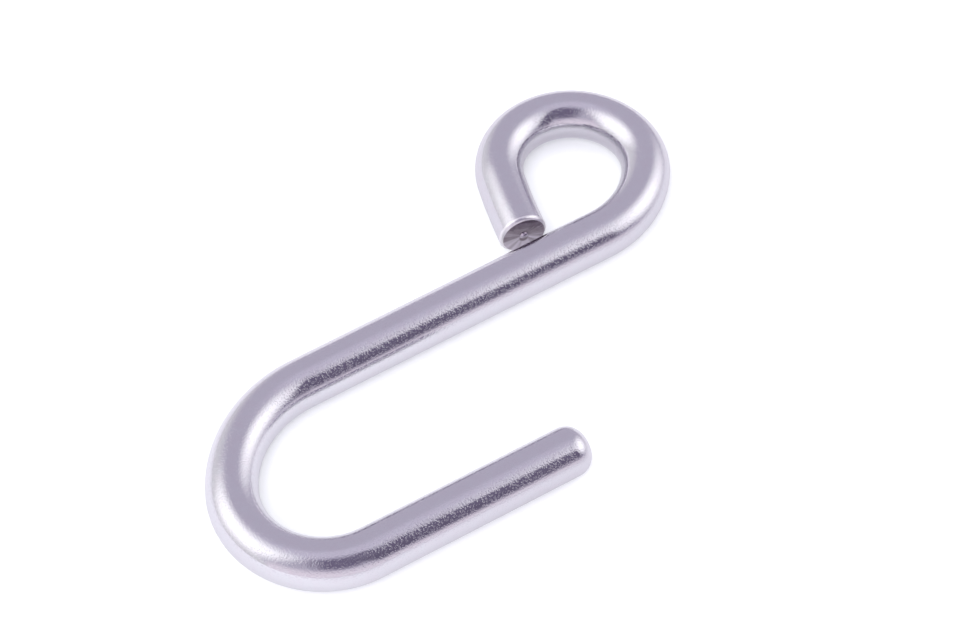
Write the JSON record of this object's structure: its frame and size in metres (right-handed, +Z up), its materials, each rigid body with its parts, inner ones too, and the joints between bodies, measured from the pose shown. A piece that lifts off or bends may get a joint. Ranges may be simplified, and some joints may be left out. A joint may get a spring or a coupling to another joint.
{
  "type": "s hook",
  "caption": "Round bar bent into an S hook: a long straight shank, an open hook with a round-tipped leg, and a closed eye turned the other way.",
  "frame": {"origin": "under the middle of the hook's box, on the surface that it lies on", "axes": "+X along the shank, from the open hook towards the eye; +Y across the hook, from the leg towards the eye; +Z up, square to the plane of the bends"},
  "size_m": [0.074, 0.0496, 0.006],
  "materials": {
    "steel": "polished, with a fine grain"
  },
  "bodies": {
    "root": {"hook": "steel"}
  },
  "joints": []
}
